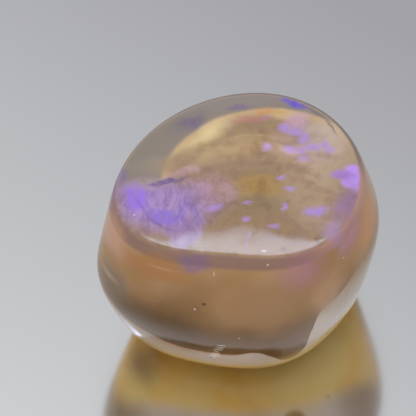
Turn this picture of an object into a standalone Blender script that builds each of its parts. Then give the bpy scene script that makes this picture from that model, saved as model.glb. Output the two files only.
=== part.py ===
"""A polished crystal opal: one clear stone with a domed underside and a nearly flat face.

The stone stands on the small flat worn at the middle of its dome, with the face up.
It is seen from the -Y side. +X runs to the right from there, +Y away and +Z up.
The origin is below the middle of the stone, on the surface that it stands on.
"""

import math

import bmesh
import bpy
from mathutils import Vector

MM = 0.001

# The finished stone is brought to this width along X.
STONE_WIDTH = 10.0 * MM

# The girdle is the widest outline, where the dome meets the flank.
# A lobe swells an outline: lobes round the stone, swell on the cosine, swell on the sine.
GIRDLE_HALF_LENGTH = 5.67 * MM
GIRDLE_HALF_WIDTH = 4.79 * MM
GIRDLE_TURN = math.radians(63.4)
GIRDLE_HEIGHT = 4.20 * MM
GIRDLE_LOBES = (
    (3, -0.02 * MM, -0.26 * MM),
    (4, 0.00 * MM, 0.17 * MM),
    (5, 0.09 * MM, -0.09 * MM),
)
GIRDLE_SLOPE = Vector((0.041, -0.004))

# The face is the polished upper side. Its outline is smaller and rounder than the girdle.
FACE_HALF_LENGTH = 4.49 * MM
FACE_HALF_WIDTH = 4.08 * MM
FACE_TURN = math.radians(16)
FACE_HEIGHT = 6.82 * MM
FACE_CENTRE = Vector((0.03 * MM, -0.27 * MM))
FACE_LOBES = (
    (3, -0.15 * MM, -0.19 * MM),
    (4, -0.08 * MM, 0.07 * MM),
    (5, 0.04 * MM, 0.01 * MM),
)

# The foot is the flat spot at the middle of the dome.
FOOT_CENTRE = Vector((0.18 * MM, 0.44 * MM))

# Underside rings: share of the girdle outline, share of its height, share of the shift to the foot.
UNDERSIDE = (
    (0.26, 0.00, 1.00),
    (0.46, 0.00, 1.00),
    (0.77, 0.10, 0.90),
    (0.86, 0.36, 0.60),
    (0.945, 0.70, 0.25),
    (1.00, 1.00, 0.00),
)

# The flank leans in steadily, then turns over quickly near the top, which makes the rounded edge.
FLANK_HEIGHTS = (0.33, 0.83, 0.915)
FLANK_LEAN = 0.76
EDGE_TURN_POWER = 6.0

# Face rings: share of the face outline, height above the face's edge. They make a gentle crown.
CROWN = (
    (1.00, 0.00),
    (0.935, 0.05 * MM),
    (0.62, 0.18 * MM),
    (0.30, 0.25 * MM),
)
CROWN_HEIGHT = 0.27 * MM

# The cage has this many points round the stone, and is smoothed this many times.
CAGE_POINTS = 22
SMOOTHING_LEVELS = 2


def oval_point(angle, half_length, half_width, turn, lobes):
    """A point of a turned oval that its lobes swell or draw in a little."""
    reach = 1 / math.hypot(math.cos(angle - turn) / half_length, math.sin(angle - turn) / half_width)
    for count, on_cosine, on_sine in lobes:
        reach += on_cosine * math.cos(count * angle) + on_sine * math.sin(count * angle)
    return Vector((reach * math.cos(angle), reach * math.sin(angle)))


def raised(place, height):
    return Vector((place.x, place.y, height))


def profile(angle):
    """The cage points from the foot up to the face's middle, at one angle round the stone."""
    girdle = oval_point(angle, GIRDLE_HALF_LENGTH, GIRDLE_HALF_WIDTH, GIRDLE_TURN, GIRDLE_LOBES)
    girdle_height = GIRDLE_HEIGHT + girdle.dot(GIRDLE_SLOPE)
    face = FACE_CENTRE + oval_point(angle, FACE_HALF_LENGTH, FACE_HALF_WIDTH, FACE_TURN, FACE_LOBES)

    points = [raised(FOOT_CENTRE, 0.0)]
    for reach, rise, shift in UNDERSIDE:
        points.append(raised(girdle * reach + FOOT_CENTRE * shift, girdle_height * rise))
    for rise in FLANK_HEIGHTS:
        inward = FLANK_LEAN * rise + (1 - FLANK_LEAN) * rise ** EDGE_TURN_POWER
        height = girdle_height * (1 - rise) + FACE_HEIGHT * rise
        points.append(raised(girdle.lerp(face, inward), height))
    for reach, rise in CROWN:
        points.append(raised(FACE_CENTRE.lerp(face, reach), FACE_HEIGHT + rise))
    points.append(raised(FACE_CENTRE, FACE_HEIGHT + CROWN_HEIGHT))
    return points


def stone_cage():
    """A sphere's net, with each of its rings moved to its place on the stone."""
    last_ring = len(profile(0.0)) - 1
    cage = bmesh.new()
    bmesh.ops.create_uvsphere(cage, u_segments=CAGE_POINTS, v_segments=last_ring, radius=1.0)
    for vertex in cage.verts:
        from_foot = math.acos(max(-1.0, min(1.0, -vertex.co.z))) / math.pi
        angle = math.atan2(vertex.co.y, vertex.co.x)
        vertex.co = profile(angle)[round(from_foot * last_ring)]
    mesh = bpy.data.meshes.new("crystal_opal")
    cage.to_mesh(mesh)
    cage.free()
    return mesh


def opal_material():
    """Clear honey-coloured opal with a glassy polish."""
    material = bpy.data.materials.new("clear_honey_opal")
    material.use_nodes = True
    shader = material.node_tree.nodes["Principled BSDF"]
    shader.inputs["Base Color"].default_value = (0.42, 0.26, 0.14, 1.0)
    shader.inputs["Metallic"].default_value = 0.0
    shader.inputs["Roughness"].default_value = 0.03
    shader.inputs["IOR"].default_value = 1.45
    shader.inputs["Transmission Weight"].default_value = 0.8
    return material


def bring_to_size(stone):
    """Scales the cage so that the smoothed stone has its width, and stands it on the origin."""
    graph = bpy.context.evaluated_depsgraph_get()
    smoothed = stone.evaluated_get(graph)
    places = [vertex.co.copy() for vertex in smoothed.to_mesh().vertices]
    smoothed.to_mesh_clear()
    low = Vector([min(place[axis] for place in places) for axis in range(3)])
    high = Vector([max(place[axis] for place in places) for axis in range(3)])
    below_middle = Vector(((low.x + high.x) / 2, (low.y + high.y) / 2, low.z))
    scale = STONE_WIDTH / (high.x - low.x)
    for vertex in stone.data.vertices:
        vertex.co = (vertex.co - below_middle) * scale


def make_stone(collection):
    """The whole opal, as one solid."""
    stone = bpy.data.objects.new("crystal_opal", stone_cage())
    collection.objects.link(stone)
    stone.data.materials.append(opal_material())
    stone.data.shade_smooth()
    smoothing = stone.modifiers.new("polished_form", "SUBSURF")
    smoothing.levels = SMOOTHING_LEVELS
    smoothing.render_levels = SMOOTHING_LEVELS
    bring_to_size(stone)
    return stone


def main():
    for old in list(bpy.data.objects):
        bpy.data.objects.remove(old, do_unlink=True)
    collection = bpy.data.collections.new("crystal_opal")
    bpy.context.scene.collection.children.link(collection)
    make_stone(collection)


main()
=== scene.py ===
import math
import bmesh
import bpy
from mathutils import Matrix, Vector


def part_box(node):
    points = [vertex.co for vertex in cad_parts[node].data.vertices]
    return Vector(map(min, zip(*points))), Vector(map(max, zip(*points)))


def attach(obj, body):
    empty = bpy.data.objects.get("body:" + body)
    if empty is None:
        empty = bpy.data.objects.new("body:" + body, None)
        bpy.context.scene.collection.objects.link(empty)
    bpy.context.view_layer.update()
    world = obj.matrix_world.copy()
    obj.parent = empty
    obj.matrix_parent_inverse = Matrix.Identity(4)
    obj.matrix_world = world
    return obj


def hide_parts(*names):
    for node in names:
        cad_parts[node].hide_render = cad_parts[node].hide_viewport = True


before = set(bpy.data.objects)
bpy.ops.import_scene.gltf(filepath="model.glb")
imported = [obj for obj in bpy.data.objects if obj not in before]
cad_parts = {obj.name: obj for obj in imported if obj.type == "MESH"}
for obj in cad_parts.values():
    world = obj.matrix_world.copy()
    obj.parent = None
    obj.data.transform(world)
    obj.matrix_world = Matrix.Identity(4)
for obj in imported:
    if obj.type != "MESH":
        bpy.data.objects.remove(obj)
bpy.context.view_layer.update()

# The stone's form. The real piece is one pebble of crystal opal, ground to a low dome below and polished
# nearly flat above. It is drawn as rings of points from its foot to the middle of its face, which are then
# smoothed until no facet shows, and brought to the size of the solid that it replaces.
MM = 0.001
girdle = dict(half_length=5.67, half_width=4.79, turn=math.radians(63.4),
              lobes=((3, -0.02, -0.26), (4, 0.00, 0.17), (5, 0.09, -0.09)))
girdle_height, girdle_slope = 4.20, Vector((0.041, -0.004))
face = dict(half_length=4.49, half_width=4.08, turn=math.radians(16),
            lobes=((3, -0.15, -0.19), (4, -0.08, 0.07), (5, 0.04, 0.01)))
face_height, face_centre = 6.82, Vector((0.03, -0.27))
foot_centre = Vector((0.18, 0.44))
underside_rings = ((0.26, 0.00, 1.00), (0.46, 0.00, 1.00), (0.77, 0.10, 0.90),
                   (0.86, 0.36, 0.60), (0.945, 0.70, 0.25), (1.00, 1.00, 0.00))
flank_rings, flank_lean, edge_turn = (0.33, 0.83, 0.915), 0.76, 6.0
crown_rings, crown_height = ((1.00, 0.00), (0.935, 0.05), (0.62, 0.18), (0.30, 0.25)), 0.27
cage_points, smoothing_level = 22, 4


def outline(angle, half_length, half_width, turn, lobes):
    reach = 1 / math.hypot(math.cos(angle - turn) / half_length, math.sin(angle - turn) / half_width)
    for count, on_cosine, on_sine in lobes:
        reach += on_cosine * math.cos(count * angle) + on_sine * math.sin(count * angle)
    return Vector((reach * math.cos(angle), reach * math.sin(angle)))


def stone_profile(angle):
    widest = outline(angle, **girdle)
    widest_height = girdle_height + widest.dot(girdle_slope)
    top = face_centre + outline(angle, **face)
    points = [(*foot_centre, 0.0)]
    for reach, rise, shift in underside_rings:
        points.append((*(widest * reach + foot_centre * shift), widest_height * rise))
    for rise in flank_rings:
        inward = flank_lean * rise + (1 - flank_lean) * rise ** edge_turn
        points.append((*widest.lerp(top, inward), widest_height * (1 - rise) + face_height * rise))
    for reach, rise in crown_rings:
        points.append((*face_centre.lerp(top, reach), face_height + rise))
    points.append((*face_centre, face_height + crown_height))
    return [Vector(point) * MM for point in points]


def ringed_form(name, profiles):
    shape = bmesh.new()
    foot = shape.verts.new(profiles[0][0])
    crown = shape.verts.new(profiles[0][-1])
    columns = [[shape.verts.new(point) for point in profile[1:-1]] for profile in profiles]
    for left, right in zip(columns, columns[1:] + columns[:1]):
        shape.faces.new((foot, right[0], left[0]))
        for low, high in zip(range(len(left) - 1), range(1, len(left))):
            shape.faces.new((left[low], right[low], right[high], left[high]))
        shape.faces.new((left[-1], right[-1], crown))
    mesh = bpy.data.meshes.new(name)
    shape.to_mesh(mesh)
    shape.free()
    piece = bpy.data.objects.new(name, mesh)
    bpy.context.scene.collection.objects.link(piece)
    return piece


stone = ringed_form("opal_stone", [stone_profile(math.tau * step / cage_points)
                                   for step in range(cage_points)])
smoothing = stone.modifiers.new("ground_form", "SUBSURF")
smoothing.levels = smoothing.render_levels = smoothing_level
bpy.context.view_layer.objects.active = stone
stone.select_set(True)
bpy.ops.object.modifier_apply(modifier="ground_form")
low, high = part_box("crystal_opal")
places = [vertex.co for vertex in stone.data.vertices]
own_low = Vector([min(place[axis] for place in places) for axis in range(3)])
own_high = Vector([max(place[axis] for place in places) for axis in range(3)])
for vertex in stone.data.vertices:
    vertex.co = Vector([low[axis] + (vertex.co[axis] - own_low[axis]) * (high[axis] - low[axis])
                        / (own_high[axis] - own_low[axis]) for axis in range(3)])
stone.data.shade_smooth()

# A small old chip near the foot, a narrow splinter lost from the polished skin.
chip_centre, chip_half_sizes, chip_lean = Vector((-0.90, -4.62, 2.42)), Vector((0.20, 0.60, 0.62)), 0.27
chip_depth = 0.07
for vertex in stone.data.vertices:
    place = vertex.co / MM - chip_centre
    place.x -= chip_lean * place.z
    apart = Vector([place[axis] / chip_half_sizes[axis] for axis in range(3)]).length
    if apart < 1:
        vertex.co -= vertex.normal * chip_depth * (1 - apart ** 2) * MM


# The stone's material: clear opal with a faint milky haze, polished with a fine compound.
# It is see-through with an amber depth, and carries violet, pink and gold play-of-colour in its haze.
def linear(hex_colour):
    channels = [int(hex_colour[i:i + 2], 16) / 255 for i in (1, 3, 5)]
    return tuple(c / 12.92 if c <= 0.04045 else ((c + 0.055) / 1.055) ** 2.4 for c in channels) + (1.0,)


def add_node(tree, kind, sockets=(), **settings):
    node = tree.nodes.new(kind)
    for name, value in settings.items():
        setattr(node, name, value)
    for socket, value in dict(sockets).items():
        if isinstance(value, bpy.types.NodeSocket):
            tree.links.new(value, node.inputs[socket])
        else:
            node.inputs[socket].default_value = value
    return node


# A Mix node's sockets by number: the share of the upper one, the colours under and over, and the plain values
# under and over.
SHARE, UNDER, OVER, UNDER_VALUE, OVER_VALUE = 0, 6, 7, 2, 3
MIXED, MIXED_VALUE = 2, 0

opal = bpy.data.materials.new("polished_crystal_opal")
opal.use_nodes = True
tree = opal.node_tree
shader = tree.nodes["Principled BSDF"]
output = tree.nodes["Material Output"]

# Places in the stone are looked up in millimetres. The haze wanders off its place by up to wander_reach,
# and the play-of-colour breaks along shards, which shift it by up to shard_reach more.
wander_size, wander_reach = 1.0, 0.3
shard_size, shard_reach = 0.4, 0.05
object_place = add_node(tree, "ShaderNodeTexCoord").outputs["Object"]
in_mm = add_node(tree, "ShaderNodeVectorMath", {0: object_place, "Scale": 1 / MM},
                 operation="SCALE").outputs["Vector"]
wander = add_node(tree, "ShaderNodeTexNoise", {"Vector": in_mm, "Scale": 1 / wander_size,
                                               "Detail": 3.0}).outputs["Color"]
wander_step = add_node(tree, "ShaderNodeVectorMath", {0: wander, 1: (2 * wander_reach,) * 3,
                                                      2: (-wander_reach,) * 3},
                       operation="MULTIPLY_ADD").outputs["Vector"]
cloudy_place = add_node(tree, "ShaderNodeVectorMath", {0: in_mm, 1: wander_step},
                        operation="ADD").outputs["Vector"]
shards = add_node(tree, "ShaderNodeTexVoronoi", {"Vector": cloudy_place,
                                                 "Scale": 1 / shard_size}).outputs["Color"]
shard_step = add_node(tree, "ShaderNodeVectorMath", {0: shards, 1: (2 * shard_reach,) * 3,
                                                     2: (-shard_reach,) * 3},
                      operation="MULTIPLY_ADD").outputs["Vector"]
broken_place = add_node(tree, "ShaderNodeVectorMath", {0: cloudy_place, 1: shard_step},
                        operation="ADD").outputs["Vector"]
straight = add_node(tree, "ShaderNodeSeparateXYZ", {"Vector": in_mm})
cloudy = add_node(tree, "ShaderNodeSeparateXYZ", {"Vector": cloudy_place})

# Soft mottling, with sizes in millimetres: small clouds, a broad drift, and fine brushed streaks.
mottling = {}
brush_turn, brush_stretch = math.radians(35), 0.28
brushed_place = add_node(tree, "ShaderNodeMapping", {"Vector": cloudy_place,
                                                     "Rotation": (0.0, 0.0, brush_turn),
                                                     "Scale": (1.0, brush_stretch, 1.0)}).outputs["Vector"]
for name, place, size, detail, shift in (
        ("clouds", cloudy_place, 0.6, 4.0, 3.0),
        ("drift", cloudy_place, 2.2, 3.0, 7.0),
        ("brush", brushed_place, 0.2, 4.0, 5.0)):
    mottling[name] = add_node(tree, "ShaderNodeTexNoise", {"Vector": place, "W": shift, "Scale": 1 / size,
                                                           "Detail": detail},
                              noise_dimensions="4D").outputs["Fac"]

# The body's haze by region, each in a few near tones.
hazes = {}
for name, source, stops in (
        ("foot", mottling["drift"], ((0.32, "#EAB048"), (0.5, "#FFC858"), (0.68, "#FFDC80"))),
        ("rim", mottling["drift"], ((0.35, "#CCAE7C"), (0.65, "#DEC496"))),
        # pale painted light where the floor's light shows through the thin front rim
        ("front rim light", mottling["drift"], ((0.35, "#F0DCC4"), (0.65, "#FFEEDC"))),
        ("lower", mottling["drift"], ((0.35, "#744E1E"), (0.65, "#865C26"))),
        ("flank", mottling["drift"], ((0.32, "#C69862"), (0.5, "#D0A26E"), (0.68, "#DAB082"))),
        ("face", mottling["clouds"], ((0.34, "#B29474"), (0.43, "#C8AA80"), (0.50, "#D4B88E"),
                                      (0.57, "#D8B498"), (0.66, "#E6CEB0"))),
        ("violet", mottling["brush"], ((0.38, "#AC88FC"), (0.48, "#C0A0F8"), (0.56, "#CAA8EE"),
                                       (0.66, "#D8B4E6")))):
    toned = add_node(tree, "ShaderNodeValToRGB", {"Fac": source})
    while len(toned.color_ramp.elements) < len(stops):
        toned.color_ramp.elements.new(0.5)
    for stop, (position, hue) in zip(toned.color_ramp.elements, stops):
        stop.position, stop.color = position, linear(hue)
    hazes[name] = toned.outputs["Color"]

# The clear rim ends upward in a line that rises and falls round the stone, crisp in front and soft behind.
# The golden foot under it fades out about a lower line. Each line is its height against x, on a chart that is
# REACH wide.
REACH = 10.0
across = add_node(tree, "ShaderNodeMapRange", {"Value": straight.outputs["X"], "From Min": -REACH / 2,
                                               "From Max": REACH / 2}).outputs["Result"]
above = {}
for name, line in (
        ("rim", ((-5.0, 4.2), (-4.7, 3.85), (-4.1, 3.3), (-3.2, 2.78), (-2.4, 2.42), (-1.3, 2.29),
                 (-0.3, 2.3), (0.5, 2.5), (1.05, 2.0), (1.6, 1.35), (2.05, 1.5), (2.5, 3.0),
                 (2.9, 4.02), (3.5, 4.15), (4.1, 4.5), (4.9, 4.7))),
        ("foot", ((-5.0, 2.8), (-4.5, 2.3), (-4.1, 2.0), (-3.2, 1.52), (-1.5, 1.3), (0.0, 1.25), (2.0, 1.2),
                  (3.0, 1.6), (3.9, 2.15), (4.5, 2.8), (4.9, 3.7)))):
    height_there = add_node(tree, "ShaderNodeFloatCurve", {"Value": across})
    curve = height_there.mapping.curves[0]
    for point, (x, line_height) in zip(curve.points, (line[0], line[-1])):
        point.location = (x / REACH + 0.5, line_height / REACH)
    for x, line_height in line[1:-1]:
        curve.points.new(x / REACH + 0.5, line_height / REACH)
    height_there.mapping.update()
    above[name] = add_node(tree, "ShaderNodeMath", {0: height_there.outputs["Value"], 1: -REACH,
                                                    2: straight.outputs["Z"]},
                           operation="MULTIPLY_ADD").outputs["Value"]
from_middle = add_node(tree, "ShaderNodeMath", {0: straight.outputs["X"]},
                       operation="ABSOLUTE").outputs["Value"]
# In front, the rim's pale haze is painted light: the floor's light seen through the thin rim.
front_rim = add_node(tree, "ShaderNodeMapRange", {"Value": from_middle, "From Min": 4.6, "From Max": 2.8},
                     interpolation_type="SMOOTHSTEP").outputs["Result"]
rim_haze_and_light = add_node(tree, "ShaderNodeMix", {SHARE: front_rim, UNDER: hazes["rim"], OVER: hazes["front rim light"]},
                    data_type="RGBA").outputs[MIXED]
side_clearness, front_clearness = 0.65, 0.35
rim_clearness = add_node(tree, "ShaderNodeMix", {SHARE: front_rim, UNDER_VALUE: side_clearness,
                                                 OVER_VALUE: front_clearness},
                         data_type="FLOAT").outputs[MIXED_VALUE]

crisp, soft, foot_softness = 0.06, 0.9, 0.35
fading_out = add_node(tree, "ShaderNodeMapRange", {"Value": straight.outputs["Y"], "From Min": -2.6,
                                                   "From Max": -0.4, "To Min": crisp,
                                                   "To Max": soft}).outputs["Result"]
fading_in = add_node(tree, "ShaderNodeMath", {0: fading_out, 1: -1.0}, operation="MULTIPLY").outputs["Value"]

# Round the back, which the photograph doesn't show, the regions blend softly from one height to another.
behind = add_node(tree, "ShaderNodeMapRange", {"Value": cloudy.outputs["Y"], "From Min": -1.6,
                                               "From Max": 2.2},
                  interpolation_type="SMOOTHSTEP").outputs["Result"]
back_haze, back_clearness, body_brown = hazes["foot"], 0.2, linear("#947450")
for start, stop, over, clear in ((0.5, 1.2, hazes["rim"], 0.55), (1.8, 3.6, body_brown, 0.3),
                                 (3.4, 5.4, hazes["flank"], 0.3)):
    mask = add_node(tree, "ShaderNodeMapRange", {"Value": cloudy.outputs["Z"], "From Min": start,
                                                 "From Max": stop},
                    interpolation_type="SMOOTHSTEP").outputs["Result"]
    back_haze = add_node(tree, "ShaderNodeMix", {SHARE: mask, UNDER: back_haze, OVER: over},
                         data_type="RGBA").outputs[MIXED]
    back_clearness = add_node(tree, "ShaderNodeMix", {SHARE: mask, UNDER_VALUE: back_clearness,
                                                      OVER_VALUE: clear},
                              data_type="FLOAT").outputs[MIXED_VALUE]

# The rounded edge has a band of painted shade in the stone's tints: pink-brown at the right, browner at the
# left and darker at the far side.
edge_side = add_node(tree, "ShaderNodeMapRange", {"Value": cloudy.outputs["X"], "From Min": 3.6,
                                                  "From Max": 1.8},
                     interpolation_type="SMOOTHSTEP").outputs["Result"]
far_edge = add_node(tree, "ShaderNodeMapRange", {"Value": cloudy.outputs["Y"], "From Min": -1.0,
                                                 "From Max": 1.0},
                    interpolation_type="SMOOTHSTEP").outputs["Result"]
edge_tint_and_painted_shade = linear("#E8B6A8")
for mask, hue in ((edge_side, "#B89484"), (far_edge, "#9A8078")):
    edge_tint_and_painted_shade = add_node(tree, "ShaderNodeMix", {SHARE: mask, UNDER: edge_tint_and_painted_shade, OVER: linear(hue)},
                         data_type="RGBA").outputs[MIXED]

# The body from the foot up: golden foot, clear rim that is pale with painted light in front, olive-brown
# lower flank, warm brown upper flank, a darker band of painted shade round the rounded edge, and cloudy amber
# on the face.
FACE_STARTS, FACE_FULL = 6.79, 6.86
colour, clearness = hazes["lower"], 0.12
for source, start, stop, over, clear in (
        (cloudy.outputs["Z"], 3.3, 5.5, hazes["flank"], 0.30),
        (above["rim"], fading_out, fading_in, rim_haze_and_light, rim_clearness),
        (above["foot"], foot_softness, -foot_softness, hazes["foot"], 0.2),
        (behind, 0.0, 1.0, back_haze, back_clearness),
        # the band of painted shade round the rounded edge
        (straight.outputs["Z"], 6.38, 6.56, edge_tint_and_painted_shade, 0.45),
        (straight.outputs["Z"], FACE_STARTS, FACE_FULL, hazes["face"], 0.52)):
    mask = add_node(tree, "ShaderNodeMapRange", {"Value": source, "From Min": start, "From Max": stop},
                    interpolation_type="SMOOTHSTEP").outputs["Result"]
    colour = add_node(tree, "ShaderNodeMix", {SHARE: mask, UNDER: colour, OVER: over},
                      data_type="RGBA").outputs[MIXED]
    clearness = add_node(tree, "ShaderNodeMix", {SHARE: mask, UNDER_VALUE: clearness, OVER_VALUE: clear},
                         data_type="FLOAT").outputs[MIXED_VALUE]


# Soft-edged ellipsoids in the haze, each with its centre, half sizes, turn and strength. Where they overlap,
# the strongest one counts.
def patches(source, softness, spots):
    strongest = None
    for centre, half_sizes, turn, strength in spots:
        local = add_node(tree, "ShaderNodeMapping", {"Vector": source, "Location": centre,
                                                     "Rotation": (0.0, 0.0, math.radians(turn)),
                                                     "Scale": half_sizes},
                         vector_type="TEXTURE").outputs["Vector"]
        apart = add_node(tree, "ShaderNodeVectorMath", {0: local}, operation="LENGTH").outputs["Value"]
        inside = add_node(tree, "ShaderNodeMapRange", {"Value": apart, "From Min": 1 + softness,
                                                       "From Max": 1 - softness, "To Max": strength},
                          interpolation_type="SMOOTHSTEP").outputs["Result"]
        if strongest is None:
            strongest = inside
        else:
            strongest = add_node(tree, "ShaderNodeMath", {0: strongest, 1: inside},
                                 operation="MAXIMUM").outputs["Value"]
    return strongest


# Behind the face's far edge the stone is thin: a grey clear crescent with a crisp border, and gold inside it.
# Both lie outside a round patch that reaches right through the stone.
THROUGH, crescent_centre = 40.0, (1.2, -1.0, 7.0)
far_side = add_node(tree, "ShaderNodeMapRange", {"Value": cloudy.outputs["Y"], "From Min": -1.2,
                                                 "From Max": -0.2},
                    interpolation_type="SMOOTHSTEP").outputs["Result"]
on_face = add_node(tree, "ShaderNodeMapRange", {"Value": straight.outputs["Z"], "From Min": FACE_STARTS,
                                                "From Max": FACE_FULL},
                   interpolation_type="SMOOTHSTEP").outputs["Result"]
far_face = add_node(tree, "ShaderNodeMath", {0: far_side, 1: on_face}, operation="MULTIPLY").outputs["Value"]
for softness, reach, strength, tint, clear in (
        (0.14, 3.55, 0.9, "#FFDAA0", 0.30),
        (0.03, 3.88, 0.95, "#C8C0B2", 0.60)):
    inner = patches(in_mm, softness, ((crescent_centre, (reach, reach, THROUGH), 0.0, 1.0),))
    outer = add_node(tree, "ShaderNodeMath", {0: 1.0, 1: inner}, operation="SUBTRACT").outputs["Value"]
    mask = add_node(tree, "ShaderNodeMath", {0: outer, 1: far_face}, operation="MULTIPLY").outputs["Value"]
    mask = add_node(tree, "ShaderNodeMath", {0: mask, 1: strength}, operation="MULTIPLY").outputs["Value"]
    colour = add_node(tree, "ShaderNodeMix", {SHARE: mask, UNDER: colour, OVER: linear(tint)},
                      data_type="RGBA").outputs[MIXED]
    clearness = add_node(tree, "ShaderNodeMix", {SHARE: mask, UNDER_VALUE: clearness, OVER_VALUE: clear},
                         data_type="FLOAT").outputs[MIXED_VALUE]

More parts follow.
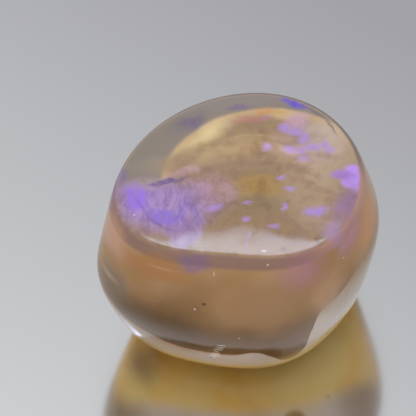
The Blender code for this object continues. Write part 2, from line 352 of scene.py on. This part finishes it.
# Patches of haze and play-of-colour. Each has where it is looked up, its softness, centre, half sizes and
# turn, its tint and strength, and how clear it is where that differs. The play-of-colour breaks along the
# shards. A patch whose half height is DEEP belongs to the face and stays on it.
DEEP = 2.2
tints = (
    # grey veil over the far edge
    (cloudy_place, 0.3, (-0.1, 3.35, 6.95), (2.2, 0.5, DEEP), 8.0, "#C8C0BC", 0.6, 0.55),
    (cloudy_place, 0.6, (-1.6, 2.3, 6.95), (0.8, 0.4, DEEP), 40.0, "#B0A6B8", 0.5, 0.6),
    # golden clouds
    (cloudy_place, 0.8, (-1.05, 1.5, 7.0), (1.0, 0.38, DEEP), 42.0, "#FFE4A8", 1.0, 0.12),
    (cloudy_place, 0.6, (-1.9, 0.6, 7.0), (0.8, 0.3, DEEP), 35.0, "#E6C898", 0.8, None),
    (cloudy_place, 0.6, (1.75, 2.55, 7.0), (0.55, 0.3, DEEP), -15.0, "#FFDE9C", 0.9, 0.35),
    (cloudy_place, 0.6, (3.1, 0.4, 7.0), (1.1, 1.4, DEEP), 0.0, "#F4DCBC", 0.8, 0.45),
    (cloudy_place, 0.6, (2.5, -1.3, 7.0), (1.1, 1.2, DEEP), 0.0, "#ECD0B0", 0.6, 0.4),
    (cloudy_place, 0.45, (0.65, -1.1, 7.0), (0.95, 0.5, DEEP), 0.0, "#DAB468", 0.9, 0.4),
    (cloudy_place, 0.6, (0.2, -2.0, 7.0), (1.4, 0.5, DEEP), 0.0, "#C0AC84", 0.6, None),
    (cloudy_place, 0.5, (0.1, 0.35, 7.0), (2.9, 0.6, DEEP), 2.0, "#AC8E72", 0.9, 0.12),
    (cloudy_place, 0.6, (0.5, 1.3, 7.0), (1.9, 0.6, DEEP), 10.0, "#B8966C", 0.8, 0.15),
    (cloudy_place, 0.6, (-0.6, 0.9, 7.0), (1.2, 0.5, DEEP), 15.0, "#C4A67C", 0.8, 0.12),
    (cloudy_place, 0.6, (3.1, 1.3, 7.0), (0.7, 0.8, DEEP), 0.0, "#FFEACC", 0.8, 0.35),
    (cloudy_place, 0.6, (3.0, -2.6, 7.0), (0.8, 0.6, DEEP), 20.0, "#EAD0C0", 0.45, 0.4),
    # the flank's own colours
    (cloudy_place, 0.5, (-4.4, -2.2, 6.1), (0.6, 1.2, 0.5), 25.0, "#F0BC9E", 0.85, None),
    (cloudy_place, 0.5, (-3.0, -4.0, 6.1), (1.5, 0.6, 0.42), -25.0, "#D4965C", 0.85, None),
    (cloudy_place, 0.5, (4.6, -1.3, 5.6), (0.5, 1.2, 0.8), 0.0, "#EEAA70", 0.8, None),
    (cloudy_place, 0.5, (-4.4, -3.2, 4.6), (0.7, 0.9, 0.7), 0.0, "#B8A890", 0.8, 0.6),
    (cloudy_place, 0.7, (-1.7, -4.65, 5.0), (0.9, 0.6, 0.9), 0.0, "#A67A40", 0.7, None),
    (cloudy_place, 0.7, (-2.5, -4.4, 3.6), (1.8, 1.0, 1.25), 0.0, "#6A4C26", 0.9, 0.12),
    (cloudy_place, 0.7, (-3.9, -3.4, 3.7), (1.1, 1.1, 0.9), 0.0, "#7C6A54", 0.6, 0.3),
    (cloudy_place, 0.6, (1.2, -4.9, 5.0), (1.4, 0.7, 0.9), 0.0, "#C49C74", 0.6, None),
    (cloudy_place, 0.6, (3.1, -4.1, 4.7), (0.8, 0.7, 0.8), 0.0, "#E4B890", 0.8, None),
    # a darker spot on the golden foot, and a brighter spot of painted light where the stone gathers light
    # onto it
    (cloudy_place, 0.9, (-3.6, -2.1, 0.75), (0.7, 0.8, 0.5), 0.0, "#8A6A48", 0.7, None),
    (cloudy_place, 0.7, (2.2, -2.9, 0.4), (2.0, 1.8, 1.2), 0.0, "#FFDC88", 0.95, 0.08),
    # pink and lilac
    (broken_place, 0.6, (-0.9, -1.3, 7.0), (0.9, 0.8, DEEP), 0.0, "#ECC0D4", 0.8, 0.4),
    (broken_place, 0.5, (-1.8, -0.2, 7.0), (0.55, 0.25, DEEP), 15.0, "#E8BCC8", 0.7, None),
    (broken_place, 0.6, (2.6, 1.0, 7.0), (1.0, 0.9, DEEP), 0.0, "#F0CCD0", 0.55, 0.4),
    (broken_place, 0.6, (2.18, 2.2, 6.9), (0.4, 0.5, DEEP), -20.0, "#F8C8E4", 0.9, 0.35),
    (broken_place, 0.5, (0.5, 2.35, 7.0), (0.6, 0.22, DEEP), 12.0, "#F4B09C", 0.9, None),
    (broken_place, 0.6, (1.2, 2.72, 7.0), (0.5, 0.14, DEEP), 0.0, "#F4AE6C", 0.8, 0.3),
    (broken_place, 0.5, (1.1, 2.35, 7.0), (0.25, 0.15, DEEP), 0.0, "#ECB0BC", 0.8, None),
    (broken_place, 0.9, (2.25, -4.3, 6.15), (0.8, 0.5, 0.6), 0.0, "#D898B8", 0.7, None),
    (broken_place, 0.6, (3.9, -2.8, 6.2), (0.7, 0.7, 0.6), 0.0, "#E0A0B8", 0.85, None),
    (broken_place, 0.6, (-4.2, -0.2, 6.5), (0.4, 1.1, 0.6), 0.0, "#C0A0E8", 0.8, None),
    (broken_place, 0.5, (-1.6, -4.3, 6.6), (0.6, 0.4, 0.3), 0.0, "#A080B8", 0.8, None),
    # violet
    (broken_place, 0.5, (-2.6, -1.8, 7.0), (1.6, 1.15, DEEP), -8.0, hazes["violet"], 0.95, 0.3),
    (broken_place, 0.2, (-1.8, -2.7, 7.0), (0.6, 1.1, DEEP), -6.0, hazes["violet"], 0.7, 0.4),
    (broken_place, 0.5, (-3.55, -1.3, 6.9), (0.4, 0.7, DEEP), 12.0, "#AE84FF", 0.95, 0.2),
    (broken_place, 0.5, (-2.6, -2.3, 7.0), (0.5, 0.3, DEEP), -25.0, "#A684FF", 0.8, 0.3),
    (broken_place, 0.35, (-2.4, -0.62, 7.0), (0.65, 0.15, DEEP), 8.0, "#7C68BC", 0.8, 0.4),
    (cloudy_place, 0.3, (4.15, -0.3, 6.9), (0.36, 0.42, DEEP), 0.0, "#D2A2FC", 1.0, 0.12),
    (cloudy_place, 0.3, (4.12, -0.8, 6.9), (0.38, 0.44, DEEP), 0.0, "#D0A2FC", 1.0, 0.12),
    (cloudy_place, 0.4, (3.75, -0.52, 6.9), (0.36, 0.24, DEEP), 0.0, "#C898F6", 0.9, 0.3),
    (broken_place, 0.6, (3.9, -1.9, 6.9), (0.45, 0.9, DEEP), -20.0, "#C49CE4", 0.7, None),
    (broken_place, 0.5, (2.1, 3.25, 6.85), (0.5, 0.22, DEEP), -25.0, "#8468FF", 1.0, 0.4),
    (broken_place, 0.6, (-1.5, 2.3, 6.9), (0.4, 0.3, DEEP), 30.0, "#9A88C8", 0.6, None),
    (broken_place, 0.5, (0.17, 3.0, 6.9), (0.5, 0.15, DEEP), 10.0, "#A488D4", 0.6, None),
)
thinned = add_node(tree, "ShaderNodeMapRange", {"Value": mottling["brush"], "From Min": 0.38,
                                                "From Max": 0.60, "To Min": 0.66},
                   interpolation_type="SMOOTHSTEP").outputs["Result"]
for source, softness, centre, half_sizes, turn, tint, strength, clear in tints:
    mask = patches(source, softness, ((centre, half_sizes, turn, strength),))
    if source is broken_place:
        mask = add_node(tree, "ShaderNodeMath", {0: mask, 1: thinned}, operation="MULTIPLY").outputs["Value"]
    if half_sizes[2] == DEEP:
        mask = add_node(tree, "ShaderNodeMath", {0: mask, 1: on_face}, operation="MULTIPLY").outputs["Value"]
    hue = linear(tint) if isinstance(tint, str) else tint
    colour = add_node(tree, "ShaderNodeMix", {SHARE: mask, UNDER: colour, OVER: hue},
                      data_type="RGBA").outputs[MIXED]
    if clear is not None:
        clearness = add_node(tree, "ShaderNodeMix", {SHARE: mask, UNDER_VALUE: clearness, OVER_VALUE: clear},
                             data_type="FLOAT").outputs[MIXED_VALUE]

# Faint clouds darken the middle of the face unevenly.
cloud_shade = add_node(tree, "ShaderNodeMapRange", {"Value": mottling["clouds"], "From Min": 0.40,
                                                    "From Max": 0.74, "To Max": 0.6},
                       interpolation_type="SMOOTHSTEP").outputs["Result"]
mask = add_node(tree, "ShaderNodeMath", {0: cloud_shade, 1: on_face}, operation="MULTIPLY").outputs["Value"]
face_middle = patches(in_mm, 0.25, (((1.0, -1.0, 7.0), (3.2, 3.2, THROUGH), 0.0, 1.0),))
mask = add_node(tree, "ShaderNodeMath", {0: mask, 1: face_middle}, operation="MULTIPLY").outputs["Value"]
colour = add_node(tree, "ShaderNodeMix", {SHARE: mask, UNDER: colour, OVER: linear("#B4A088")},
                  data_type="RGBA", blend_type="MULTIPLY").outputs[MIXED]

# Small marks, each group with its softness, tint and clearness: flecks of violet, fine dark cracks, thin pale
# streaks of painted highlight, the chip's crushed skin and pale dust with one painted highlight speck, then
# dark specks and the gaps in the chip.
marks = (
    (broken_place, 0.7, "#CCA6F8", 0.25, (
        ((1.12, 0.85, 7.0), (0.18, 0.18, DEEP), 0.0, 0.8),
        ((1.78, 1.83, 7.0), (0.18, 0.2, DEEP), 0.0, 0.8),
        ((2.13, 1.67, 7.0), (0.24, 0.17, DEEP), 0.0, 0.8),
        ((2.37, 1.37, 7.0), (0.17, 0.28, DEEP), 0.0, 0.8),
        ((1.90, 0.74, 7.0), (0.18, 0.22, DEEP), 0.0, 0.8),
        ((2.25, 0.70, 7.0), (0.22, 0.17, DEEP), 0.0, 0.8),
        ((2.72, 0.86, 7.0), (0.34, 0.2, DEEP), 0.0, 0.8),
        ((2.35, 0.30, 7.0), (0.22, 0.17, DEEP), 0.0, 0.6),
        ((3.18, 1.03, 7.0), (0.2, 0.22, DEEP), 0.0, 0.8),
        ((3.35, 0.74, 7.0), (0.17, 0.17, DEEP), 0.0, 0.7),
        ((1.55, -0.66, 7.0), (0.18, 0.1, DEEP), 0.0, 0.8),
        ((1.79, -1.14, 7.0), (0.16, 0.12, DEEP), 0.0, 0.8),
        ((1.63, -2.06, 7.0), (0.1, 0.14, DEEP), 0.0, 0.8),
        ((0.43, -1.89, 7.0), (0.16, 0.08, DEEP), 0.0, 0.7),
        ((0.34, -2.58, 7.0), (0.16, 0.12, DEEP), 0.0, 0.8),
        ((0.35, -3.45, 7.0), (0.07, 0.4, DEEP), 0.0, 0.4),
        ((1.25, -2.98, 7.0), (0.16, 0.12, DEEP), 0.0, 0.7),
        ((2.76, -2.23, 7.0), (0.36, 0.2, DEEP), 0.0, 1.0),
        ((-0.85, -2.0, 7.0), (0.25, 0.14, DEEP), 30.0, 0.7),
        ((3.3, -3.1, 6.9), (0.3, 0.4, DEEP), 0.0, 0.5))),
    (cloudy_place, 0.8, "#5E4E86", 0.4, (
        ((-3.41, -1.77, 6.9), (0.5, 0.06, DEEP), -68.0, 0.2),
        ((-2.75, -2.57, 6.9), (0.62, 0.06, DEEP), -37.0, 0.25),
        ((-1.45, -2.38, 6.9), (0.5, 0.05, DEEP), 54.0, 0.2),
        ((2.85, 2.72, 6.85), (0.5, 0.06, DEEP), -42.0, 0.5),
        ((3.38, 2.0, 6.85), (0.5, 0.05, DEEP), -66.0, 0.55))),
    (in_mm, 0.9, "#FFE2C4", 0.2, (
        # painted highlights: pale streaks of glint along the stone's left crease and edges
        ((-4.45, -2.9, 4.85), (0.4, 0.45, 0.1), 0.0, 0.4),
        ((-2.7, -4.05, 6.17), (0.5, 0.3, 0.04), 0.0, 0.25),
        ((-4.05, -1.9, 6.66), (0.12, 0.35, 0.07), 0.0, 0.9))),
    (in_mm, 0.25, "#F4E8E4", 0.1, (
        ((-0.70, -4.88, 3.06), (0.15, 0.3, 0.04), 0.0, 0.8),
        ((-0.74, -4.85, 2.90), (0.17, 0.3, 0.04), 0.0, 0.8),
        ((-0.79, -4.80, 2.74), (0.15, 0.3, 0.04), 0.0, 0.8),
        ((-0.84, -4.74, 2.58), (0.14, 0.3, 0.04), 0.0, 0.8),
        ((-0.90, -4.65, 2.42), (0.10, 0.3, 0.04), 0.0, 0.7),
        ((-1.04, -4.40, 2.00), (0.12, 0.3, 0.24), 0.0, 0.45),
        ((-1.6, -4.85, 4.89), (0.04, 0.05, 0.04), 0.0, 0.7),
        ((-0.89, -4.48, 6.26), (0.03, 0.1, 0.10), 0.0, 0.5),
        ((-0.07, -5.19, 3.70), (0.04, 0.05, 0.04), 0.0, 0.7),
        ((1.00, -4.48, 6.64), (0.04, 0.05, 0.04), 0.0, 0.7),
        ((3.67, -3.32, 5.69), (0.04, 0.05, 0.04), 0.0, 0.6),
        ((-3.63, -2.11, 6.89), (0.04, 0.04, 0.05), 0.0, 0.7),
        # a painted highlight on the front edge, drawn as a pale speck
        ((0.88, -4.03, 6.87), (0.09, 0.05, 0.06), 0.0, 0.8))),
    (in_mm, 0.4, "#4A3A2C", 0.2, (
        ((-1.27, -4.85, 5.13), (0.07, 0.07, 0.05), 0.0, 0.9),
        ((3.03, -3.10, 1.60), (0.05, 0.05, 0.05), 0.0, 0.9),
        ((-0.72, -4.86, 2.98), (0.14, 0.3, 0.03), 0.0, 0.5),
        ((-0.76, -4.83, 2.82), (0.15, 0.3, 0.03), 0.0, 0.5),
        ((-0.81, -4.78, 2.66), (0.14, 0.3, 0.03), 0.0, 0.5),
        ((-0.87, -4.70, 2.50), (0.12, 0.3, 0.03), 0.0, 0.6),
        ((-0.95, -4.58, 2.28), (0.10, 0.3, 0.05), 0.0, 0.7),
        ((-1.08, -4.36, 1.88), (0.06, 0.3, 0.05), 0.0, 0.6))),
)
for source, softness, tint, clear, spots in marks:
    mask = patches(source, softness, spots)
    colour = add_node(tree, "ShaderNodeMix", {SHARE: mask, UNDER: colour, OVER: linear(tint)},
                      data_type="RGBA").outputs[MIXED]
    clearness = add_node(tree, "ShaderNodeMix", {SHARE: mask, UNDER_VALUE: clearness, OVER_VALUE: clear},
                         data_type="FLOAT").outputs[MIXED_VALUE]

# A painted orange glint, a thin line, follows the rim's upper end at the front left.
rim_gap = add_node(tree, "ShaderNodeMath", {0: above["rim"]}, operation="ABSOLUTE").outputs["Value"]
rim_glint = add_node(tree, "ShaderNodeMapRange", {"Value": rim_gap, "From Min": 0.10, "From Max": 0.02,
                                                  "To Max": 0.6},
                     interpolation_type="SMOOTHSTEP").outputs["Result"]
left_side = add_node(tree, "ShaderNodeMapRange", {"Value": straight.outputs["X"], "From Min": 0.6,
                                                  "From Max": -1.0},
                     interpolation_type="SMOOTHSTEP").outputs["Result"]
near_side = add_node(tree, "ShaderNodeMapRange", {"Value": straight.outputs["Y"], "From Min": -2.2,
                                                  "From Max": -3.2},
                     interpolation_type="SMOOTHSTEP").outputs["Result"]
for side in (left_side, near_side):
    rim_glint = add_node(tree, "ShaderNodeMath", {0: rim_glint, 1: side},
                         operation="MULTIPLY").outputs["Value"]
colour = add_node(tree, "ShaderNodeMix", {SHARE: rim_glint, UNDER: colour, OVER: linear("#F0A868")},
                  data_type="RGBA").outputs[MIXED]

# The polish is not quite true: it waves by a few thousandths of a millimetre, with finer drag lines.
wave_length, polish_depth, drag_share, drags_per_mm = 1.6, 0.02 * MM, 0.05, (7.0, 0.8, 0.8)
waves = add_node(tree, "ShaderNodeTexNoise", {"Vector": in_mm, "Scale": 1 / wave_length,
                                              "Detail": 1.0}).outputs["Fac"]
drawn_out = add_node(tree, "ShaderNodeVectorMath", {0: in_mm, 1: drags_per_mm},
                     operation="MULTIPLY").outputs["Vector"]
drag_lines = add_node(tree, "ShaderNodeTexNoise", {"Vector": drawn_out, "Scale": 1.0,
                                                   "Detail": 2.0}).outputs["Fac"]
polish = add_node(tree, "ShaderNodeMath", {0: drag_lines, 1: drag_share, 2: waves},
                  operation="MULTIPLY_ADD").outputs["Value"]
skin = add_node(tree, "ShaderNodeBump", {"Height": polish, "Strength": 1.0, "Distance": polish_depth})

for socket, value in (("Base Color", colour), ("Transmission Weight", clearness),
                      ("Normal", skin.outputs["Normal"])):
    tree.links.new(value, shader.inputs[socket])
shader.inputs["IOR"].default_value = 1.45
shader.inputs["Roughness"].default_value = 0.03
amber_per_metre = 35.0
depth = add_node(tree, "ShaderNodeVolumeAbsorption", {"Color": linear("#D9B98A"), "Density": amber_per_metre})
tree.links.new(depth.outputs["Volume"], output.inputs["Volume"])
stone.data.materials.append(opal)
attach(stone, "root")
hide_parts("crystal_opal")

# The floor: a pale plate of satin-polished metal, flat and bare, just under the stone's foot.
# It mirrors the stone softly, and is a little darker away to the right: painted light, brighter towards the
# light.
floor_half_size, gap_under_foot = 0.6, 0.02 * MM
towards_light, shade_reach = (-12.4, -15.0, 0.0), 0.28
floor_shape = bmesh.new()
bmesh.ops.create_grid(floor_shape, x_segments=1, y_segments=1, size=floor_half_size)
floor_mesh = bpy.data.meshes.new("studio_floor")
floor_shape.to_mesh(floor_mesh)
floor_shape.free()
floor = bpy.data.objects.new("studio_floor", floor_mesh)
floor.location.z = -gap_under_foot
bpy.context.scene.collection.objects.link(floor)
metal = bpy.data.materials.new("satin_polished_pale_metal")
metal.use_nodes = True
plate = metal.node_tree
surface = plate.nodes["Principled BSDF"]
floor_place = add_node(plate, "ShaderNodeTexCoord").outputs["Object"]
nearness = add_node(plate, "ShaderNodeVectorMath", {0: floor_place, 1: towards_light},
                    operation="DOT_PRODUCT").outputs["Value"]
shade = add_node(plate, "ShaderNodeMapRange", {"Value": nearness, "From Min": -shade_reach,
                                               "From Max": shade_reach})
# The floor's colour ramp is painted light: pale towards the light, greyer away from it.
tone = add_node(plate, "ShaderNodeValToRGB", {"Fac": shade.outputs["Result"]})
for stop, hue in zip(tone.color_ramp.elements, ("#C3C3C7", "#FDFEFE")):
    stop.color = linear(hue)
plate.links.new(tone.outputs["Color"], surface.inputs["Base Color"])
surface.inputs["Metallic"].default_value = 1.0
surface.inputs["Roughness"].default_value = 0.12
floor.data.materials.append(metal)

# The light: one soft oval box above and behind the stone in an even grey room, which is brighter overhead.
# It gives the bright band on the face's near edge, and the room gives the rest.
box_middle, box_half_size = (0.02, math.radians(65), 0.0), (0.25, math.radians(9), 1.0)
box_strength, box_tone = 5.5, (0.92, 1.05, 1.4)
room_levels, room_blueness = ((0.72, 0.635), (1.0, 1.0)), 1.01
world = bpy.data.worlds.new("grey_studio")
bpy.context.scene.world = world
world.use_nodes = True
sky = world.node_tree
look = add_node(sky, "ShaderNodeSeparateXYZ",
                {"Vector": add_node(sky, "ShaderNodeTexCoord").outputs["Generated"]})
room = add_node(sky, "ShaderNodeValToRGB", {"Fac": look.outputs["Z"]})
for stop, (position, brightness) in zip(room.color_ramp.elements, room_levels):
    stop.position, stop.color = position, (brightness, brightness, brightness * room_blueness, 1)
tilt = add_node(sky, "ShaderNodeMath", {0: look.outputs["Z"], 1: look.outputs["Y"]}, operation="ARCTAN2")
tilt_and_side = add_node(sky, "ShaderNodeCombineXYZ", {"X": look.outputs["X"], "Y": tilt.outputs["Value"]})
in_box = add_node(sky, "ShaderNodeMapping", {"Vector": tilt_and_side.outputs["Vector"],
                                             "Location": box_middle, "Scale": box_half_size},
                  vector_type="TEXTURE")
from_box = add_node(sky, "ShaderNodeVectorMath", {0: in_box.outputs["Vector"]},
                    operation="LENGTH").outputs["Value"]
box_light = add_node(sky, "ShaderNodeMapRange", {"Value": from_box, "From Min": 1.1, "From Max": 0.7,
                                                 "To Max": box_strength},
                     interpolation_type="SMOOTHSTEP").outputs["Result"]
lit_room = add_node(sky, "ShaderNodeVectorMath", {0: box_light, 1: box_tone, 2: room.outputs["Color"]},
                    operation="MULTIPLY_ADD")
sky.links.new(lit_room.outputs["Vector"], sky.nodes["Background"].inputs["Color"])

# The camera looks down on the stone at the photograph's angle, from far off, so nothing is foreshortened.
# The picture is square, and shows the point on the floor named stone_point at the pixel named stone_pixel.
elevation, roll = math.radians(46), math.radians(1.65)
picture, picture_width = 416, 14.767 * MM
stone_point, stone_pixel = Vector((0.131, -0.183, 0)) * MM, (243.68, 307.66)
pixel, middle_pixel = picture_width / picture, picture / 2
away = Vector((0, -math.cos(elevation), math.sin(elevation)))
level, upright = Vector((1, 0, 0)), Vector((0, math.sin(elevation), math.cos(elevation)))
right = level * math.cos(roll) - upright * math.sin(roll)
up = level * math.sin(roll) + upright * math.cos(roll)
lens = bpy.data.cameras.new("camera")
lens.sensor_width = 36
lens.lens = 1500
view = bpy.data.objects.new("camera", lens)
bpy.context.scene.collection.objects.link(view)
centre = (stone_point + right * (middle_pixel - stone_pixel[0]) * pixel
          + up * (stone_pixel[1] - middle_pixel) * pixel)
distance = picture_width * lens.lens / lens.sensor_width
view.matrix_world = Matrix.LocRotScale(centre + away * distance,
                                       Matrix((right, up, away)).transposed().to_quaternion(), None)
bpy.context.scene.camera = view
bpy.context.scene.view_settings.view_transform = "Standard"
bpy.context.scene.cycles.glossy_bounces = 16
bpy.context.scene.cycles.transmission_bounces = 24
bpy.context.scene.cycles.max_bounces = 32
